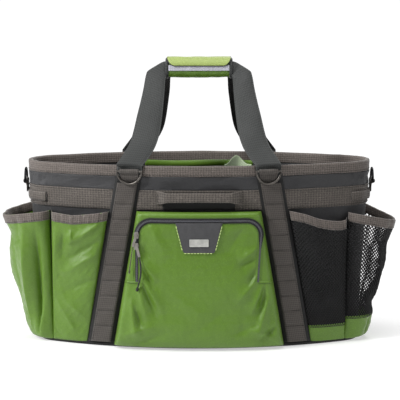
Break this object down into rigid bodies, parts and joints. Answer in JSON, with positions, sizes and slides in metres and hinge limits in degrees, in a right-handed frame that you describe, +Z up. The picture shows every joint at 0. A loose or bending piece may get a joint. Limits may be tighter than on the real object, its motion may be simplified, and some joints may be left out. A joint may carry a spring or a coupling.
{
  "type": "garden tool bag",
  "caption": "Open-topped oval garden tool bag with a stiff rim, outside fabric and mesh pockets, a zipped front pocket, and two webbing handles joined by a soft grip.",
  "frame": {"origin": "centre of the footprint, on the surface that the bag stands on", "axes": "+Z up, +X along the bag's length to its right, -Y towards the front with the zipped pocket"},
  "size_m": [0.7792, 0.3304, 0.5472],
  "materials": {
    "badge_metal": "brushed, blank",
    "base_fabric": "coated fabric",
    "black_cord": "moulded over cord",
    "black_metal": "black, semi-gloss",
    "black_webbing": "ribbed webbing, matt",
    "dark_fabric": "woven, matt",
    "dark_metal": "gunmetal",
    "flap_fabric": "woven, light green",
    "foam_board": "closed-cell foam",
    "green_fabric": "coated nylon, slight sheen",
    "grey_cord": "braided",
    "grey_webbing": "ribbed webbing, slight sheen",
    "lining_fabric": "plain weave, matt",
    "mesh": "open mesh",
    "patch_leather": "smooth, matt",
    "plastic_strip": "moulded strip",
    "taupe_webbing": "ribbed webbing, matt",
    "zip_metal": "dark nickel",
    "zip_tape": "coil zip tape"
  },
  "bodies": {
    "bag": {"badge_plate": "badge_metal", "base_board": "foam_board", "base_panel": "base_fabric", "base_piping": "black_webbing", "belt_webbing": "taupe_webbing", "end_grab_handles": "taupe_webbing", "end_ring_tabs": "taupe_webbing", "front_grab_handle": "taupe_webbing", "front_left_pocket": "green_fabric", "front_left_pocket_binding": "taupe_webbing", "front_mesh_pocket": "mesh", "front_mesh_pocket_binding": "taupe_webbing", "front_mesh_pocket_foot": "green_fabric", "front_ring_tabs": "taupe_webbing", "front_strap_covers": "taupe_webbing", "front_straps": "black_webbing", "front_wall": "dark_fabric", "left_end_pocket": "green_fabric", "left_end_pocket_binding": "taupe_webbing", "left_end_wall": "dark_fabric", "lining": "lining_fabric", "patch": "patch_leather", "rear_left_pocket": "green_fabric", "rear_mesh_pocket": "mesh", "rear_mesh_pocket_foot": "green_fabric", "rear_pocket_bindings": "taupe_webbing", "rear_ring_tabs": "taupe_webbing", "rear_slip_pocket": "green_fabric", "rear_strap_covers": "taupe_webbing", "rear_straps": "black_webbing", "rear_wall": "dark_fabric", "right_end_mesh_pocket": "mesh", "right_end_mesh_pocket_binding": "taupe_webbing", "right_end_mesh_pocket_foot": "green_fabric", "right_end_wall": "dark_fabric", "rim_binding": "taupe_webbing", "rim_hoop": "plastic_strip", "upper_band": "dark_fabric", "wall_stiffener": "foam_board", "zip_pocket_face": "green_fabric", "zip_pocket_gusset": "green_fabric", "zipper_tape": "zip_tape"},
    "front_handle": {"front_handle": "grey_webbing"},
    "rear_handle": {"rear_handle": "grey_webbing", "grip_wrap": "green_fabric"},
    "grip_flap": {"grip_flap": "flap_fabric"},
    "slider_upper": {"slider_upper": "zip_metal"},
    "puller_upper": {"puller_upper": "zip_metal", "pull_cord_upper": "grey_cord"},
    "slider_lower": {"slider_lower": "zip_metal"},
    "puller_lower": {"puller_lower": "zip_metal", "pull_cord_lower": "black_cord"},
    "inner_divider": {"inner_divider": "green_fabric", "inner_divider_binding": "lining_fabric"},
    "front_ring_left": {"front_ring_left": "dark_metal"},
    "front_ring_right": {"front_ring_right": "dark_metal"},
    "rear_ring_left": {"rear_ring_left": "dark_metal"},
    "rear_ring_right": {"rear_ring_right": "dark_metal"},
    "left_end_ring": {"left_end_ring": "black_metal"},
    "right_end_ring": {"right_end_ring": "black_metal"}
  },
  "joints": [
    {"name": "front_handle_fold", "type": "hinge", "parent": "bag", "child": "front_handle", "pos_m": [0, -0.141, 0.3535], "axis": [1, 0, 0], "range_deg": [0, 165], "deforming": ["grip_wrap", "grip_flap"]},
    {"name": "rear_handle_fold", "type": "hinge", "parent": "bag", "child": "rear_handle", "pos_m": [0, 0.141, 0.3535], "axis": [-1, 0, 0], "range_deg": [0, 165]},
    {"name": "grip_flap_open", "type": "hinge", "parent": "rear_handle", "child": "grip_flap", "pos_m": [0, 0.012, 0.5465], "axis": [-1, 0, 0], "range_deg": [0, 150]},
    {"name": "front_ring_left_swing", "type": "hinge", "parent": "bag", "child": "front_ring_left", "pos_m": [-0.13068, -0.14091, 0.341], "axis": [0.9754, -0.2203, 0], "range_deg": [-135, 0]},
    {"name": "front_ring_right_swing", "type": "hinge", "parent": "bag", "child": "front_ring_right", "pos_m": [0.13068, -0.14091, 0.341], "axis": [0.9754, 0.2203, 0], "range_deg": [-135, 0]},
    {"name": "rear_ring_left_swing", "type": "hinge", "parent": "bag", "child": "rear_ring_left", "pos_m": [-0.13068, 0.14091, 0.341], "axis": [-0.9754, -0.2203, 0], "range_deg": [-135, 0]},
    {"name": "rear_ring_right_swing", "type": "hinge", "parent": "bag", "child": "rear_ring_right", "pos_m": [0.13068, 0.14091, 0.341], "axis": [-0.9754, 0.2203, 0], "range_deg": [-135, 0]},
    {"name": "left_end_ring_swing", "type": "hinge", "parent": "bag", "child": "left_end_ring", "pos_m": [-0.33666, 0, 0.309], "axis": [0, -1, 0], "range_deg": [-8, 150]},
    {"name": "right_end_ring_swing", "type": "hinge", "parent": "bag", "child": "right_end_ring", "pos_m": [0.33666, 0, 0.309], "axis": [0, 1, 0], "range_deg": [-8, 150]},
    {"name": "slider_upper_turn", "type": "hinge", "parent": "bag", "child": "slider_upper", "pos_m": [-0.08942, -0.15705, 0.222], "axis": [0.1718, 0.9851, 0], "range_deg": [0, 85]},
    {"name": "puller_upper_swing", "type": "hinge", "parent": "slider_upper", "child": "puller_upper", "pos_m": [-0.117, -0.15692, 0.224], "axis": [-0.9808, 0.1951, 0], "range_deg": [0, 100]},
    {"name": "slider_lower_travel", "type": "slide", "parent": "bag", "child": "slider_lower", "axis": [0, 0, -1], "range_m": [0, 0.05]},
    {"name": "puller_lower_swing", "type": "hinge", "parent": "slider_lower", "child": "puller_lower", "pos_m": [-0.117, -0.157, 0.203], "axis": [-0.9808, 0.1951, 0], "range_deg": [0, 100]},
    {"name": "divider_lift", "type": "slide", "parent": "bag", "child": "inner_divider", "axis": [0, 0, 1], "range_m": [0, 0.15]}
  ]
}
